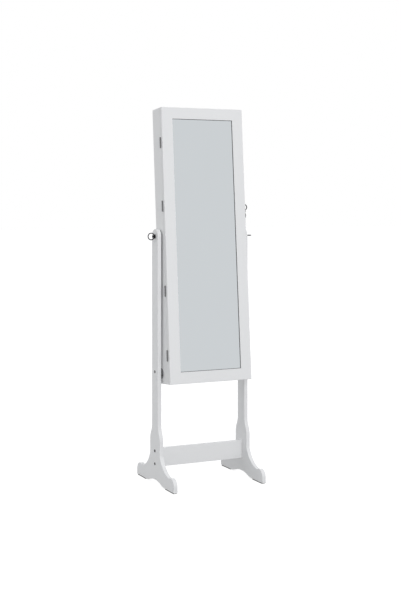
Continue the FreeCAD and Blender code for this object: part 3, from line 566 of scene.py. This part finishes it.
@dataclass
class LeaningFrame:
    """The cabinet's own frame: its origin is on the tilt axis, and it leans back about X."""

    pivot_height: float
    lean: float

    @classmethod
    def of(cls, frame: dict) -> "LeaningFrame":
        """Reads the tilt axis and the lean from the joints of the frame.


        Returns:
            The leaning frame.
        """
        joints = {joint["name"]: joint for joint in frame["joints"]}
        axis = joints["door_hinge"]["axis"]
        return cls(joints["tilt"]["pos_m"][2], atan2(-axis[1], -axis[2]))

    def turn(self) -> np.ndarray:
        """The matrix whose columns are the leaning frame's directions."""
        c, s = np.cos(self.lean), np.sin(self.lean)
        return np.array([[1, 0, 0], [0, c, s], [0, -s, c]])

    def point(self, *place: float) -> np.ndarray:
        """A place of the leaning frame, in the part's frame."""
        return self.turn() @ np.array(place) + np.array([0, 0, self.pivot_height])

    def points(self, places: np.ndarray) -> np.ndarray:
        """Places of the leaning frame, shaped (..., 3), in the part's frame."""
        return places @ self.turn().T + np.array([0, 0, self.pivot_height])

    def direction(self, *way: float) -> np.ndarray:
        """A direction of the leaning frame, in the part's frame."""
        return self.turn() @ np.array(way, float)

    def box(self, node: bpy.types.Object) -> tuple[np.ndarray, np.ndarray]:
        """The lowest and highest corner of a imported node, measured in the leaning frame.

        Args:
            node: the node's object.

        Returns:
            The two corners.
        """
        points = np.empty(len(node.data.vertices) * 3, np.float32)
        node.data.vertices.foreach_get("co", points)
        local = (points.reshape(-1, 3) - [0, 0, self.pivot_height]) @ self.turn()
        return local.min(axis=0), local.max(axis=0)


@dataclass
class Workshop:
    """What every maker needs: the frame, the leaning frame and the finishes."""

    frame: dict
    leaning: LeaningFrame
    palette: Palette

    def box(self, name: str) -> tuple[np.ndarray, np.ndarray]:
        """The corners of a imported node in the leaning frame."""
        return self.leaning.box(self.frame["nodes"][name])

    def hand_over(self, piece: bpy.types.Object, body: str, slot: Slot, *replaced: str) -> None:
        """Dresses a new piece, puts it on its body and hides the nodes that it stands for.

        Args:
            piece: the new piece.
            body: the body that it moves with.
            slot: its finish.
            replaced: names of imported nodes.
        """
        self.palette.dress(piece, slot)
        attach(piece, body)
        if replaced:
            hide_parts(*replaced)
        LOG.info("%s rides on %s in %s", piece.name, body, slot.value)


# ------------------------------------------------------------------ boards and mirror

@dataclass
class LacqueredBoards:
    """The boards of the stand, the case and the door, with sanded and sprayed edges.

    Edges that turn by more than corner degrees are rounded by edge metres. Faces within
    flat_angle degrees of each other are one flat face.
    """

    shop: Workshop
    edge: float = 0.0006
    edge_steps: int = 2
    corner: float = 28.0
    flat_angle: float = 0.3
    face_weight: int = 80
    joint_reach: float = 1e-4
    stand: tuple[str, ...] = ("side_frame_left", "side_frame_right", "cross_rail")
    case: tuple[str, ...] = ("case_side_left", "case_side_right", "case_top", "case_bottom", "case_back")
    door: tuple[str, ...] = ("door_stile_left", "door_stile_right", "door_rail_top", "door_rail_bottom")

    def build(self) -> None:
        """Softens every board."""
        for body, names in (("stand", self.stand), ("cabinet", self.case), ("door", self.door)):
            for name in names:
                self.soften(name, body)

    def soften(self, name: str, body: str) -> None:
        """Welds a copy of a board, clears its flat faces of cuts and rounds its sharp edges.

        Args:
            name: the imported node.
            body: the body that it moves with.
        """
        mesh = self.shop.frame["nodes"][name].data.copy()
        shape = bmesh.new()
        shape.from_mesh(mesh)
        bmesh.ops.remove_doubles(shape, verts=shape.verts, dist=WELD)
        bmesh.ops.dissolve_limit(shape, angle_limit=radians(self.flat_angle), verts=shape.verts,
                                 edges=shape.edges)
        self.mark_edges(shape, glued=body == "door")
        shape.to_mesh(mesh)
        shape.free()
        mesh.shade_smooth()
        piece = bpy.data.objects.new(f"sprayed_{name}", mesh)
        bpy.context.scene.collection.objects.link(piece)
        rounding = piece.modifiers.new("sanded_edges", "BEVEL")
        rounding.width = self.edge
        rounding.segments = self.edge_steps
        rounding.limit_method = "WEIGHT"
        even = piece.modifiers.new("flat_faces", "WEIGHTED_NORMAL")
        even.weight = self.face_weight
        even.keep_sharp = True
        self.shop.hand_over(piece, body, Slot.LACQUER, name)

    def mark_edges(self, shape: bmesh.types.BMesh, glued: bool) -> None:
        """Gives a bevel weight to each sharp edge, but not to the filled and sprayed joints of the door.

        The joints' edges are marked sharp instead, so that the shading of the flat faces ends there.

        Args:
            shape: the welded board.
            glued: whether edges in the planes where rails meet stiles stay closed.
        """
        sight = self.shop.box("door_rail_top")[1][0]
        weight = shape.edges.layers.float.new("bevel_weight_edge")
        for edge in shape.edges:
            middle = (edge.verts[0].co + edge.verts[1].co) / 2
            joint = glued and abs(abs(middle.x) - sight) < self.joint_reach
            sharp = edge.calc_face_angle(0) > radians(self.corner)
            edge[weight] = float(sharp and not joint)
            edge.smooth = not joint


@dataclass
class PaintedLipShadeBead:
    """A dark bead in the corner between the glass and the frame's lip: painted shade and painted reflection,
    standing in for the shadowed inner face of the lip and its dark image in the glass.
    """

    shop: Workshop
    width: float = 0.0016
    steps: int = 7

    def build(self) -> None:
        """Carries a quarter-round section along the glass opening, mitred at its corners."""
        glass_face = self.shop.box("mirror_glass")[0][1]
        half = self.shop.box("door_rail_top")[1][0]
        base = self.shop.box("door_rail_bottom")[1][2]
        top = self.shop.box("door_rail_top")[0][2]
        corners = np.array([(-half, base), (half, base), (half, top), (-half, top)])
        inward = np.array([(1, 1), (-1, 1), (-1, -1), (1, -1)])
        turn = np.linspace(0, np.pi / 2, self.steps)
        across = np.concatenate([[0.0], np.cos(turn)]) * self.width
        forward = np.concatenate([[0.0], np.sin(turn)]) * self.width
        flat = corners[:, None] + across[None, :, None] * inward[:, None]
        depth = glass_face - np.broadcast_to(forward, flat.shape[:2])
        grid = np.stack([flat[..., 0], depth, flat[..., 1]], axis=-1)
        shell = Shell()
        shell.add(self.shop.leaning.points(grid), True, True)
        # Painted shade: the dark rubber bead stands in for the shadow along the lip and its dark reflection in
        # the glass.
        self.shop.hand_over(shell.build("painted_lip_shade_bead", 50), "door", Slot.RUBBER)


# ------------------------------------------------------------------ tilt pivots

@dataclass
class TiltPivots:
    """The two thumb screws with their pull rings. The rings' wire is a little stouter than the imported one."""

    shop: Workshop
    edge: float = 0.0005
    shank: float = 0.004
    flange_radius: float = 0.0088
    flange: float = 0.0012
    stouter: float = 1.15

    def build(self) -> None:
        """Makes both screws and both rings."""
        for side, sign in SIDES.items():
            self.screw(side, sign)
            self.ring(side)

    def screw(self, side: str, sign: float) -> None:
        """Turns a screw: a rounded tip, a plain shank, a thin flange on the post and a waisted hub.

        Args:
            side: left or right.
            sign: -1 or 1, the way from mid width to the post.
        """
        low, high = (np.array(corner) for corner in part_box(f"pivot_screw_{side}"))
        tip, end = np.sort(np.abs([low[0], high[0]]))
        face = max(abs(corner[0]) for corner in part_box(f"side_frame_{side}"))
        top = face + self.flange
        hub = (high[2] - low[2]) / 2
        shank, rim, e = self.shank, self.flange_radius, self.edge
        profile = np.array([
            (tip, 0), (tip, shank - 2 * e), (tip + 2 * e, shank), (face, shank),
            (face, rim - e), (face + e, rim), (top - e, rim), (top, rim - e),
            (top, hub * 1.3), (face + self.flange * 0.6, hub * 1.15), (top + e, hub - e),
            (face + 2.5 * self.flange, hub - e), (face + 3 * self.flange, hub),
            (end - 3 * e, hub), (end - e, hub - e), (end, hub - 3 * e), (end, 0)])
        middle = np.array([0, 0, (low[2] + high[2]) / 2])
        shell = Shell()
        shell.add(turned(middle, np.array([sign, 0, 0]), profile), closed_columns=True)
        piece = shell.build(f"thumb_screw_{side}", 35)
        self.shop.hand_over(piece, f"{side}_screw", Slot.DARK_CHROME, f"pivot_screw_{side}")

    def ring(self, side: str) -> None:
        """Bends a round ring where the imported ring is.

        Args:
            side: left or right.
        """
        low, high = (np.array(corner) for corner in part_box(f"pull_ring_{side}"))
        size = high - low
        thin = int(np.argmin(size))
        wire = self.stouter * size[thin] / 2
        shell = Shell()
        shell.add(torus((low + high) / 2, np.eye(3)[thin], size[0] / 2 - wire, wire), True, True)
        piece = shell.build(f"wire_ring_{side}")
        self.shop.hand_over(piece, f"{side}_screw", Slot.DARK_CHROME, f"pull_ring_{side}")


# ------------------------------------------------------------------ screws

@dataclass
class SmallScrews:
    """The screw heads that hold hinges, plates, catches and panels, and the bolts' washers.

    Each inset is the distance from an edge of the piece that the screws hold. The hinge places
    are heights from the middle of the row of hinges.
    """

    shop: Workshop
    radius: float = 0.0026
    height: float = 0.0008
    fine_radius: float = 0.0022
    washer_bore: float = 0.0036
    washer_radius: float = 0.0058
    washer_rise: float = 0.0009
    washer_drop: float = 0.001
    bolt_spacing: float = 0.05
    hinge_places: tuple[float, ...] = (-0.411, -0.164, 0.164, 0.411)
    hinge_inset: float = 0.0045
    hinge_shift: float = 0.013
    hinge_leaf: float = 0.0009
    hinge_height: float = 0.0004
    stay_radius: float = 0.0034
    stay_setback: float = 0.017
    stay_inset: float = 0.016
    stay_shifts: tuple[float, ...] = (-0.002, 0.02)
    back_inset: float = 0.009
    back_columns: int = 3
    back_rows: int = 6
    strike_insets: tuple[float, ...] = (0.006, 0.026)
    strike_height: float = 0.00025
    cam_radius: float = 0.003
    keeper_radius: float = 0.0021
    keeper_inset: float = 0.006
    keeper_foot: float = 0.0015
    keeper_ends: float = 0.0035

    def heads(self, name: str, body: str, slot: Slot, places: list[tuple[np.ndarray, np.ndarray]],
              radius: float | None = None, height: float | None = None) -> None:
        """Makes a set of heads as one piece.

        Args:
            name: the piece's name.
            body: the body that it moves with.
            slot: its finish.
            places: pairs of seat and facing, in the part's frame.
            radius: the heads' radius, if not the usual one.
            height: the heads' height, if not the usual one.
        """
        shell = Shell()
        for seat, facing in places:
            head = screw_head(seat, facing, radius or self.radius, height or self.height)
            shell.add(head, closed_columns=True)
        self.shop.hand_over(shell.build(name, 50), body, slot)

    def build(self) -> None:
        """Makes every set of heads."""
        self.on_bolts()
        self.on_hinges()
        self.on_stays()
        self.on_back()
        self.on_catches()
        self.on_lock()

    def on_bolts(self) -> None:
        """A black cup washer round each bolt hole of the side frames.

        The section is a low dome with a step down into the hole, turned about the bolt.
        """
        inner, outer = self.washer_bore, self.washer_radius
        turn = np.linspace(0, np.pi, 9)
        dome = np.stack([self.washer_rise * np.sin(turn),
                         (inner + outer) / 2 + (outer - inner) / 2 * np.cos(turn)], axis=1)
        seat = [(0.0, outer * 0.99)]
        profile = np.vstack([seat, dome, [(-self.washer_drop, inner)], seat])
        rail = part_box("cross_rail")
        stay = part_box("stay_bolts")
        rail_middle = (rail[0][2] + rail[1][2]) / 2
        bolts = [(0.0, rail_middle - self.bolt_spacing / 2), (0.0, rail_middle + self.bolt_spacing / 2),
                 ((stay[0][1] + stay[1][1]) / 2, (stay[0][2] + stay[1][2]) / 2)]
        shell = Shell()
        for side, sign in SIDES.items():
            face = max(abs(corner[0]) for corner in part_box(f"side_frame_{side}"))
            for y, z in bolts:
                shell.add(turned(np.array([sign * face, y, z]), np.array([sign, 0, 0]), profile),
                          closed_columns=True)
        self.shop.hand_over(shell.build("cup_washers", 50), "stand", Slot.DARK_STEEL)

    def on_hinges(self) -> None:
        """Two heads on each case leaf, facing the door, and two on each door leaf."""
        lean = self.shop.leaning
        case_face = self.shop.box("case_side_left")[0][1]
        door_face = self.shop.box("door_lining")[1][1]
        sets = (("case", "cabinet", -1.0, case_face), ("door", "door", 1.0, door_face))
        for label, body, way, face in sets:
            low, high = self.shop.box(f"hinge_{label}_leaves")
            middle = (low[2] + high[2]) / 2
            x = high[0] - self.hinge_inset
            y = face + way * self.hinge_leaf
            places = [(lean.point(x, y, middle + place + shift), lean.direction(0, way, 0))
                      for place in self.hinge_places for shift in (-self.hinge_shift, self.hinge_shift)]
            name = f"hinge_screws_{label}"
            self.heads(name, body, Slot.NICKEL, places, self.fine_radius, self.hinge_height)

    def on_stays(self) -> None:
        """Two heads on each stay plate, facing its post."""
        lean = self.shop.leaning
        low, high = self.shop.box("stay_plates")
        y = self.shop.box("case_side_right")[1][1] - self.stay_setback
        z = low[2] + self.stay_inset
        places = [(lean.point(sign * high[0], y, z + shift), lean.direction(sign, 0, 0))
                  for sign in SIDES.values() for shift in self.stay_shifts]
        self.heads("stay_screws", "cabinet", Slot.DARK_STEEL, places, self.stay_radius)

    def on_back(self) -> None:
        """A row of heads round the back panel."""
        lean = self.shop.leaning
        low, high = self.shop.box("case_back")
        columns = np.linspace(low[0] + self.back_inset, high[0] - self.back_inset, self.back_columns)
        rows = np.linspace(low[2] + self.back_inset, high[2] - self.back_inset, self.back_rows)
        places = [(lean.point(x, high[1], z), lean.direction(0, 1, 0)) for x in columns for z in rows
                  if x in (columns[0], columns[-1]) or z in (rows[0], rows[-1])]
        self.heads("back_screws", "cabinet", Slot.NICKEL, places)

    def on_catches(self) -> None:
        """Two heads on each strike plate."""
        lean = self.shop.leaning
        low, high = self.shop.box("strike_plates")
        x = (low[0] + high[0]) / 2
        heights = [low[2] + inset for inset in self.strike_insets]
        heights += [high[2] - inset for inset in self.strike_insets]
        places = [(lean.point(x, high[1], z), lean.direction(0, 1, 0)) for z in heights]
        self.heads("strike_screws", "door", Slot.NICKEL, places, self.fine_radius, self.strike_height)

    def on_lock(self) -> None:
        """The head that holds the cam, and two heads on the keeper's foot."""
        lean = self.shop.leaning
        plug = self.shop.box("lock_plug")
        middle = (plug[0] + plug[1]) / 2
        seat = lean.point(plug[0][0], middle[1], middle[2])
        self.heads("cam_screw", "lock", Slot.NICKEL, [(seat, lean.direction(-1, 0, 0))], self.cam_radius)
        low, high = self.shop.box("lock_keeper")
        x, y = high[0] - self.keeper_inset, low[1] + self.keeper_foot
        places = [(lean.point(x, y, z), lean.direction(0, 1, 0))
                  for z in (low[2] + self.keeper_ends, high[2] - self.keeper_ends)]
        self.heads("keeper_screws", "door", Slot.NICKEL, places, self.keeper_radius)


# ------------------------------------------------------------------ storage

@dataclass
class RingHolder:
    """Soft rolls side by side, which grip rings between them.

    Along its length, in waves of sag metres, each roll is a little uneven, and it closes in a
    quarter circle over end_share of its radius.
    """

    shop: Workshop
    count: int = 8
    steps: int = 60
    end_share: float = 0.6
    sag: float = 0.0004
    waves: int = 3
    wave_shift: float = 1.9

    def build(self) -> None:
        """Turns each roll about its own middle line."""
        low, high = self.shop.box("ring_rolls")
        thickness = high[1] - low[1]
        pitch = (high[2] - low[2] - thickness) / (self.count - 1)
        radius = thickness / 2
        length = high[0] - low[0]
        along = np.linspace(0, 1, self.steps)
        from_end = np.minimum(along, 1 - along) * length
        open_share = 1 - np.clip(from_end / (radius * self.end_share), 0, 1)
        closed = radius * np.sqrt(np.clip(1 - open_share ** 2, 0, 1))
        shell = Shell()
        for step in range(self.count):
            wave = self.sag * np.sin(along * TAU * self.waves + step * self.wave_shift)
            profile = np.stack([along * length, np.minimum(closed, radius - self.sag + wave)], axis=1)
            origin = self.shop.leaning.point(low[0], (low[1] + high[1]) / 2, low[2] + radius + step * pitch)
            shell.add(turned(origin, np.array([1.0, 0, 0]), profile), closed_columns=True)
        self.shop.hand_over(shell.build("soft_ring_rolls", 60), "cabinet", Slot.VELVET, "ring_rolls")


@dataclass
class NecklaceHooks:
    """A row of bent wire hooks with ball tips under a bar."""

    shop: Workshop
    count: int = 12
    width: float = 0.003
    wire: float = 0.0012
    bend: float = 0.005
    ball: float = 0.0018

    def build(self) -> None:
        """Bends each hook out of the bar and up, and closes it with a ball."""
        low, high = self.shop.box("necklace_hooks")
        lean = self.shop.leaning
        y_tip, y_bar = low[1] + self.ball, high[1]
        z_low, z_top = low[2] + self.wire, high[2] - self.ball
        sideways = np.array([1.0, 0, 0])
        shell = Shell()
        for x in np.linspace(low[0] + self.width / 2, high[0] - self.width / 2, self.count):
            corners = np.array([lean.point(x, y_bar, z_low), lean.point(x, y_tip, z_low),
                                lean.point(x, y_tip, z_top)])
            path = rounded_run(corners, self.bend)
            shell.add(bent_wire(path, sideways, np.full(len(path), self.wire)), closed_columns=True)
            shell.add(self.closed_ball(corners[-1]), closed_columns=True)
        self.shop.hand_over(shell.build("wire_hooks"), "cabinet", Slot.NICKEL, "necklace_hooks")

    def closed_ball(self, centre: np.ndarray) -> np.ndarray:
        """A ball: its radius at a height follows the circle.

        Args:
            centre: its middle.

        Returns:
            A grid of points, closed in its columns.
        """
        turn = np.linspace(0, np.pi, 10)
        profile = np.stack([-np.cos(turn), np.sin(turn)], axis=1) * self.ball
        return turned(centre, np.array([0, 0, 1.0]), profile, 16)


@dataclass
class BraceletRod:
    """A polished rod between two turned buttons.

    A button is full width up to half of its depth, and then draws in to face_share.
    """

    shop: Workshop
    face_share: float = 0.72
    brow_share: float = 0.9
    brow_depth: float = 0.15

    def build(self) -> None:
        """Turns the rod and the buttons."""
        low, high = self.shop.box("bracelet_rod")
        button_low, button_high = self.shop.box("rod_buttons")
        middle = (low + high) / 2
        radius = (high[1] - low[1]) / 2
        origin = self.shop.leaning.point(0, middle[1], middle[2])
        along = np.array([(low[0], 0), (low[0], radius), (high[0], radius), (high[0], 0)])
        rod = Shell()
        rod.add(turned(origin, np.array([1.0, 0, 0]), along), closed_columns=True)
        self.shop.hand_over(rod.build("polished_rod"), "cabinet", Slot.NICKEL, "bracelet_rod")
        button = (button_high[1] - button_low[1]) / 2
        start, face = button_high[0], high[0]
        depth = start - face
        profile = np.array([(start, 0), (start, button), (face + depth / 2, button),
                            (face + depth * self.brow_depth, button * self.brow_share),
                            (face, button * self.face_share), (face, 0)])
        ends = Shell()
        for sign in SIDES.values():
            ends.add(turned(origin, np.array([sign, 0, 0]), profile), closed_columns=True)
        self.shop.hand_over(ends.build("turned_buttons", 30), "cabinet", Slot.NICKEL, "rod_buttons")


# ------------------------------------------------------------------ studio

@dataclass(frozen=True)
class Lamp:
    """A square area lamp: where it stands, the point that it faces, its width in metres and its watts."""

    name: str
    place: Place
    target: Place
    size: float
    power: float

    def build(self) -> None:
        """Adds the lamp, which neither the camera nor the mirror sees."""
        data = bpy.data.lights.new(self.name, "AREA")
        data.size = self.size
        data.energy = self.power
        lamp = bpy.data.objects.new(self.name, data)
        lamp.location = self.place
        away = np.array(self.place) - np.array(self.target)
        yaw = np.arctan2(away[0], -away[1])
        tilt = np.arctan2(np.hypot(away[0], away[1]), away[2])
        lamp.rotation_euler = (tilt, 0, yaw)
        lamp.visible_camera = False
        lamp.visible_glossy = False
        bpy.context.scene.collection.objects.link(lamp)


LAMPS = (
    Lamp("front_lamp", (-0.4, -5.0, 2.2), (0, 0, 1.1), 2.6, 109.0),
    Lamp("left_lamp", (-3.4, 0.2, 2.9), (0, 0, 1.2), 1.8, 16.0),
    Lamp("back_lamp", (2.2, 5.2, 2.4), (0, 0, 0.9), 3.2, 60.0),
)


@dataclass
class Studio:
    """The floor, the soft light, the white background and the camera.

    The sky's light falls on the object at the ambient level, and the background is white to the
    camera and in metal and glass.
    """

    camera_place: Place = (-1.9789, -4.1669, 1.0931)
    camera_yaw: float = 25.41
    sensor: float = 36.0
    lens: float = 69.9
    shift_down: float = 0.1632
    sky: Colour = (0.97, 0.985, 1.0)
    ambient: float = 0.70
    floor_size: float = 80.0
    floor_colour: Colour = (0.35, 0.35, 0.35)
    floor_roughness: float = 0.9
    floor_lift: float = 0.82

    def build(self) -> None:
        """Makes the whole studio."""
        self.floor()
        self.world()
        for lamp in LAMPS:
            lamp.build()
        self.camera()

    def floor(self) -> None:
        """A pale floor that stays white to the camera and keeps the object's shadow."""
        half = self.floor_size / 2
        corners = [(-half, -half, 0.0), (half, -half, 0.0), (half, half, 0.0), (-half, half, 0.0)]
        mesh = bpy.data.meshes.new("studio_floor")
        mesh.from_pydata(corners, [], [(0, 1, 2, 3)])
        floor = bpy.data.objects.new("studio_floor", mesh)
        bpy.context.scene.collection.objects.link(floor)
        mesh.materials.append(self.floor_material())

    def floor_material(self) -> bpy.types.Material:
        """A matt grey that glows by floor_lift for the rays that see the background.

        Returns:
            The material.
        """
        board = Surface("studio_floor")
        board.set(Base_Color=(*self.floor_colour, 1), Roughness=self.floor_roughness, Specular_IOR_Level=0.0)
        glow = board.add("ShaderNodeEmission")
        seen = board.add("ShaderNodeMath")
        seen.operation = "MULTIPLY"
        seen.inputs[1].default_value = self.floor_lift
        board.join(board.background_rays(), seen.inputs[0])
        board.join(seen.outputs[0], glow.inputs["Strength"])
        total = board.add("ShaderNodeAddShader")
        board.join(board.shader.outputs["BSDF"], total.inputs[0])
        board.join(glow.outputs["Emission"], total.inputs[1])
        board.join(total.outputs["Shader"], board.tree.nodes["Material Output"].inputs["Surface"])
        return board.material

    def world(self) -> None:
        """White to the camera and in metal and glass, and soft grey light on the object."""
        world = bpy.data.worlds.new("studio")
        bpy.context.scene.world = world
        world.use_nodes = True
        board = NodeBoard(world.node_tree)
        board.tree.nodes.clear()
        light = board.add("ShaderNodeBackground", Color=(*self.sky, 1), Strength=self.ambient)
        seen = board.add("ShaderNodeBackground", Color=(1, 1, 1, 1))
        choice = board.add("ShaderNodeMixShader")
        output = board.add("ShaderNodeOutputWorld")
        board.join(board.background_rays(), choice.inputs["Fac"])
        board.join(light.outputs["Background"], choice.inputs[1])
        board.join(seen.outputs["Background"], choice.inputs[2])
        board.join(choice.outputs["Shader"], output.inputs["Surface"])

    def camera(self) -> None:
        """The photograph's viewpoint, level, with the frame shifted down."""
        data = bpy.data.cameras.new("camera")
        data.sensor_width = self.sensor
        data.lens = self.lens
        data.shift_y = -self.shift_down
        camera = bpy.data.objects.new("camera", data)
        camera.location = self.camera_place
        camera.rotation_euler = (radians(90), 0, -radians(self.camera_yaw))
        bpy.context.scene.collection.objects.link(camera)
        bpy.context.scene.camera = camera
        bpy.context.scene.view_settings.view_transform = "Standard"


def main() -> None:
    """Loads the frame, dresses it, and makes the pieces and the studio."""
    logging.basicConfig(level=logging.INFO, format="%(message)s")
    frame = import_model()
    palette = Palette()
    palette.dress_frame(frame)
    shop = Workshop(frame, LeaningFrame.of(frame), palette)
    for maker in (LacqueredBoards, PaintedLipShadeBead, TiltPivots, SmallScrews, RingHolder, NecklaceHooks,
                  BraceletRod):
        maker(shop).build()
        LOG.info("%s done", maker.__name__)
    Studio().build()


if __name__ == "__main__":
    main()
